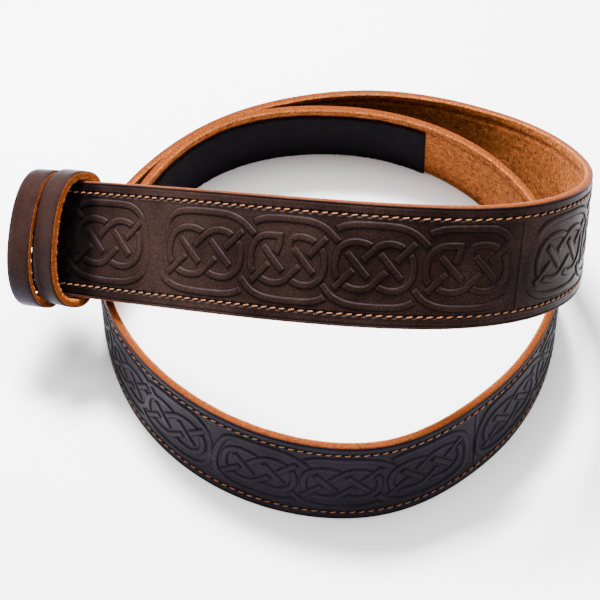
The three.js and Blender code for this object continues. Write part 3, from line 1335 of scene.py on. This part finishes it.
@dataclass(frozen=True)
class DyedLeather:
    """Dark brown dyed leather: semi-matt, finely grained, darker in its creases.

    The fine specks multiply the colour, and are partly grain and partly painted glints. Creases and stitch
    holes are darkened with painted shade, and a painted highlight lies on the bands' upper sides. A painted
    cool reflection takes over along the strap between a start and an end length, in metres, or, where a
    height is given for it, under that height.
    """

    name: str
    deep: Tone
    warm: Tone
    grain_and_glint: Tone
    reflection_tone: Tone
    reflection_light_tone: Tone
    roughness: float
    specular: float
    highlight_strength: float = 0.42
    reflection_below: float = 0.0
    reflection_start: float = 0.42
    reflection_end: float = 0.80
    reflection_fade: float = 0.009
    crease_shade_tone: Tone = (0.0010, 0.0006, 0.0005)
    highlight_tone: Tone = (0.078, 0.060, 0.060)
    hole_shade_tone: Tone = (0.0003, 0.0002, 0.0002)

    def material(self) -> bpy.types.Material:
        """Builds the material."""
        graph = Graph(self.name)
        point = graph.object_point()
        crease_shade, upper_side_highlight, hole = graph.tooling()
        clouds = graph.ramp(graph.noise(point, 28, 4), 0.3, 0.7)
        colour = graph.mix(clouds, self.deep, self.warm)
        # Painted cool reflection of the pale floor: along the lower turns, or under a height at the keepers'
        # lower ends.
        if self.reflection_below > 0:
            reflection_share = graph.ramp(graph.parts(point)[2], self.reflection_below - self.reflection_fade,
                                self.reflection_below + self.reflection_fade, 1.0, 0.0)
        else:
            reflection_share = graph.ramp(graph.parts(graph.flat_point())[0], self.reflection_start, self.reflection_end)
        colour = graph.mix(reflection_share, colour, graph.mix(clouds, self.reflection_tone, self.reflection_light_tone))
        # Fine specks: partly grain, partly painted glints.
        speck = graph.ramp(graph.noise(point, 1350, 3, 0.7), 0.42, 0.66)
        colour = graph.mix(speck, colour, self.grain_and_glint, "MULTIPLY")
        # Painted shade in the creases and in the keepers' painted shadow.
        colour = graph.mix(graph.times(crease_shade, 0.80), colour, self.crease_shade_tone)
        # Painted highlight on the upper sides of the bands: patchy, and weaker where the painted reflection
        # lies.
        patchy = graph.ramp(graph.noise(point, 240, 3), 0.30, 0.62, 0.55, 1.0)
        less_on_reflection = graph.ramp(reflection_share, 0.0, 1.0, self.highlight_strength, 0.45 * self.highlight_strength)
        share = graph.times(graph.times(upper_side_highlight, patchy), less_on_reflection)
        colour = graph.mix(share, colour, self.highlight_tone)
        # Painted shade in the stitch holes.
        colour = graph.mix(hole, colour, self.hole_shade_tone)
        patches = graph.noise(point, 90, 3)
        rough = graph.ramp(patches, 0.3, 0.7, self.roughness - 0.05, self.roughness + 0.07)
        graph.feed(graph.shader.inputs["Roughness"], graph.math("ADD", rough, graph.times(crease_shade, 0.45)))
        pores = graph.bump(graph.ramp(graph.cells(point, 1150), 0.0, 0.55), 0.00012, 0.40)
        normal = graph.bump(graph.noise(point, 1500, 4, 0.65), 0.00022, 0.50, pores)
        return graph.finish(colour, normal, Specular_IOR_Level=self.specular,
                            Specular_Tint=(0.86, 0.82, 1.0, 1.0))


@dataclass(frozen=True)
class Suede:
    """The tan flesh side of the leather: mottled, fibrous and without gloss."""

    name: str
    dark: Tone
    tan: Tone
    light: Tone

    def material(self) -> bpy.types.Material:
        """Builds the material."""
        graph = Graph(self.name)
        point = graph.object_point()
        crease_shade, _, _ = graph.tooling()
        broad = graph.ramp(graph.noise(point, 60, 4), 0.3, 0.7)
        fibres = graph.ramp(graph.noise(point, 430, 5, 0.75, 0.5), 0.34, 0.56)
        flecks = graph.ramp(graph.noise(point, 700, 3, 0.6, 0.3), 0.50, 0.70)
        colour = graph.mix(fibres, self.dark, self.tan)
        # The crease mix is painted shade along the suede side's stitch dents.
        for mask, most, tone in ((broad, 0.20, self.tan), (flecks, 0.6, self.light),
                                 (crease_shade, 0.55, self.dark)):
            colour = graph.mix(graph.times(mask, most), colour, tone)
        normal = graph.bump(graph.noise(point, 2400, 3), 0.0002, 0.5, graph.bump(fibres, 0.0007, 0.65))
        return graph.finish(colour, normal, Roughness=0.92, Specular_IOR_Level=0.04,
                            Sheen_Weight=0.04, Sheen_Roughness=0.5,
                            Sheen_Tint=(0.9, 0.45, 0.2, 1.0))


@dataclass(frozen=True)
class CutEdge:
    """The leather's matt cut edge: orange tan, in faint layers, darker towards the dyed face and
    with pale fibres towards the flesh side."""

    name: str
    dark: Tone
    tan: Tone
    fibre: Tone = (0.42, 0.150, 0.040)

    def material(self) -> bpy.types.Material:
        """Builds the material."""
        graph = Graph(self.name)
        point = graph.object_point()
        _, near_dye, _ = graph.tooling()
        layers = graph.noise(graph.flat_point((220, 40, 1)), 1.0, 4, 0.6)
        bands = graph.ramp(graph.math("ADD", graph.times(near_dye, 3.0), layers), 0.6, 2.6)
        grain = graph.ramp(graph.noise(point, 1100, 4, 0.65), 0.32, 0.66)
        colour = graph.mix(grain, self.dark, self.tan)
        colour = graph.mix(graph.times(bands, 0.40), colour, self.dark)
        frayed = graph.times(graph.ramp(graph.noise(point, 1300, 3, 0.6), 0.42, 0.62),
                             graph.ramp(near_dye, 0.06, 0.40, 0.75, 0.0))
        colour = graph.mix(frayed, colour, self.fibre)
        return graph.finish(colour, graph.bump(grain, 0.00022, 0.5), Roughness=0.62,
                            Specular_IOR_Level=0.04)


@dataclass(frozen=True)
class Thread:
    """Waxed tan thread with its twist, whose length is in metres."""

    name: str
    dark: Tone
    tan: Tone
    twist: float = 0.0011

    def material(self) -> bpy.types.Material:
        """Builds the material: the twist is a wave that climbs round the stitch as it goes on."""
        graph = Graph(self.name)
        along, round_it, _ = graph.parts(graph.flat_point((1 / self.twist, 1.0, 1.0)))
        wave = graph.math("SINE", graph.times(graph.math("ADD", along, round_it), 2 * np.pi))
        strand = graph.ramp(wave, -1.0, 1.0)
        soil = graph.ramp(graph.noise(graph.object_point(), 300, 3), 0.35, 0.65)
        # Darker in the twist's grooves: painted shade.
        colour = graph.mix(strand, self.dark, self.tan)
        colour = graph.mix(graph.times(soil, 0.35), colour, self.dark)
        return graph.finish(colour, graph.bump(strand, 0.00012, 0.7), Roughness=0.6,
                            Specular_IOR_Level=0.35)


@dataclass(frozen=True)
class Pile:
    """Matt black pile of the fastening tape."""

    name: str
    dark: Tone
    light: Tone

    def material(self) -> bpy.types.Material:
        """Builds the material."""
        graph = Graph(self.name)
        point = graph.object_point()
        loops = graph.ramp(graph.noise(point, 1300, 4, 0.7, 0.8), 0.35, 0.7)
        broad = graph.ramp(graph.noise(point, 160, 3), 0.3, 0.7)
        colour = graph.mix(loops, self.dark, self.light)
        colour = graph.mix(graph.times(broad, 0.4), colour, self.dark)
        return graph.finish(colour, graph.bump(loops, 0.0006, 0.8), Roughness=0.95,
                            Specular_IOR_Level=0.03)


# Studio


@dataclass
class Studio:
    """Pale floor, soft lights and the camera."""

    path: StrapPath
    elevation: float = 53.78
    distance: float = 755.3
    aim_across: float = -0.1
    aim_height: float = 39.9
    focal_pixels: float = 1499.0
    image_pixels: int = 600
    floor_size: float = 6.0
    floor_gap: float = 0.0002

    def camera(self) -> None:
        """Makes the camera at the viewing angle, looking at its aim from the front and above."""
        tilt = np.radians(self.elevation)
        aim = np.array([self.aim_across, 0.0, self.aim_height]) + self.path.shift
        back = np.array([0.0, -np.cos(tilt), np.sin(tilt)])
        data = bpy.data.cameras.new("camera")
        data.sensor_width = 36.0
        data.lens = self.focal_pixels / self.image_pixels * data.sensor_width
        data.clip_start, data.clip_end = 0.01, 20.0
        camera = bpy.data.objects.new("camera", data)
        camera.location = (aim + back * self.distance) * MM
        camera.rotation_euler = (np.pi / 2 - tilt, 0.0, 0.0)
        bpy.context.scene.collection.objects.link(camera)
        bpy.context.scene.camera = camera

    def floor(self) -> None:
        """Makes the floor as one large face just under the belt."""
        graph = Graph("floor_paper")
        tone = graph.ramp(graph.noise(graph.object_point(), 3, 2), 0.3, 0.7, 0.0, 1.0)
        colour = graph.mix(tone, (0.90, 0.90, 0.905), (0.92, 0.92, 0.92))
        paper = graph.finish(colour, Roughness=0.9, Specular_IOR_Level=0.1)
        half = self.floor_size / 2
        side = np.array([-half, half])
        x, y = np.meshgrid(side, side, indexing="ij")
        points = np.stack([x, y, np.full_like(x, -self.floor_gap)], -1)
        sheet = Surface(points, points[..., :2], flip=True)
        mesh_piece("floor", [sheet], [paper])

    def light(self, name: str, place: tuple[float, ...], size: float, watts: float,
              colour: Tone) -> None:
        """Makes a square soft light that looks at the belt.

        Args:
            name: The light's name.
            place: Where it is, in metres.
            size: Its side, in metres.
            watts: Its power.
            colour: Its colour.
        """
        data = bpy.data.lights.new(name, "AREA")
        data.shape = "SQUARE"
        data.size = size
        data.energy = watts
        data.color = colour
        lamp = bpy.data.objects.new(name, data)
        lamp.location = place
        away = np.array(place) - np.array([0.0, 0.0, 0.05])
        flat = np.hypot(away[0], away[1])
        lamp.rotation_euler = (np.arctan2(flat, away[2]), 0.0, np.arctan2(away[0], -away[1]))
        bpy.context.scene.collection.objects.link(lamp)

    def build(self) -> None:
        """Makes everything of the studio."""
        self.camera()
        self.floor()
        world = bpy.data.worlds.new("studio")
        world.use_nodes = True
        back = world.node_tree.nodes["Background"]
        back.inputs["Color"].default_value = (0.90, 0.94, 1.0, 1.0)
        back.inputs["Strength"].default_value = 0.22
        bpy.context.scene.world = world
        self.light("key_light", (-0.16, 0.42, 1.0), 0.26, 78.0, (0.95, 0.95, 1.0))
        self.light("top_light", (0.05, 0.1, 1.4), 1.5, 55.0, (1.0, 0.99, 0.98))
        self.light("left_light", (-1.1, 0.3, 0.9), 0.6, 6.0, (0.96, 0.98, 1.0))


def main() -> None:
    """Builds the belt piece by piece, then its studio."""
    logging.basicConfig(level=logging.INFO, format="%(name)s: %(message)s")
    path = StrapPath()
    log.info("strap length %.1f mm, shift %s mm", path.length, np.round(path.shift, 3))
    keeper_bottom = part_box("keeper_outer")[0][2]
    leather = DyedLeather(
        "strap_dyed", deep=(0.0060, 0.0029, 0.0023), warm=(0.0150, 0.0078, 0.0062),
        grain_and_glint=(2.0, 2.1, 2.2), reflection_tone=(0.0040, 0.0028, 0.0044), reflection_light_tone=(0.0070, 0.0050, 0.0082),
        roughness=0.38, specular=0.020,
    ).material()
    # The keepers' lower ends take the painted cool reflection.
    keeper_leather = DyedLeather(
        "keeper_dyed", deep=(0.0060, 0.0025, 0.0019), warm=(0.0120, 0.0054, 0.0041),
        grain_and_glint=(1.9, 2.0, 2.1), reflection_tone=(0.0150, 0.0108, 0.0190), reflection_light_tone=(0.0250, 0.0190, 0.0330),
        roughness=0.38, specular=0.018, highlight_strength=0.0, reflection_below=keeper_bottom + 0.019,
    ).material()
    suede = Suede(
        "suede", dark=(0.040, 0.0080, 0.0014), tan=(0.190, 0.050, 0.0085), light=(0.40, 0.135, 0.034)
    ).material()
    edge = CutEdge("cut_edge", dark=(0.055, 0.0100, 0.0012), tan=(0.185, 0.042, 0.0055)).material()
    thread = Thread("thread", dark=(0.10, 0.030, 0.006), tan=(0.33, 0.118, 0.032)).material()
    pile = Pile("pile", dark=(0.0018, 0.0014, 0.0021), light=(0.0105, 0.0088, 0.0122)).material()
    rows = StitchRows()
    StrapBody(path, rows).build(leather, edge, suede)
    TooledFace(path, Knotwork(), rows).build(leather)
    Stitching(path, rows).build(thread)
    for keeper in (
        Keeper(path, "keeper_outer_loop", middle=7.5, front_room=13.95, half_height=31.2,
               front_roundness=2.19, thickness=3.1, drop=1.47, push=-0.05, roll=0.58, yaw=-1.4,
               pitch=-5.5, seed=31),
        Keeper(path, "keeper_inner_loop", middle=25.4, front_room=12.67, half_height=29.45,
               front_roundness=2.4, thickness=4.1, drop=0.02, push=-0.81, roll=-1.9, yaw=-11.6,
               pitch=-1.6, seed=32, shaded=0.8, width=15.3),
    ):
        keeper.build(keeper_leather, edge, suede)
    FasteningTape(path).build(pile)
    Studio(path).build()


if __name__ == "__main__":
    main()
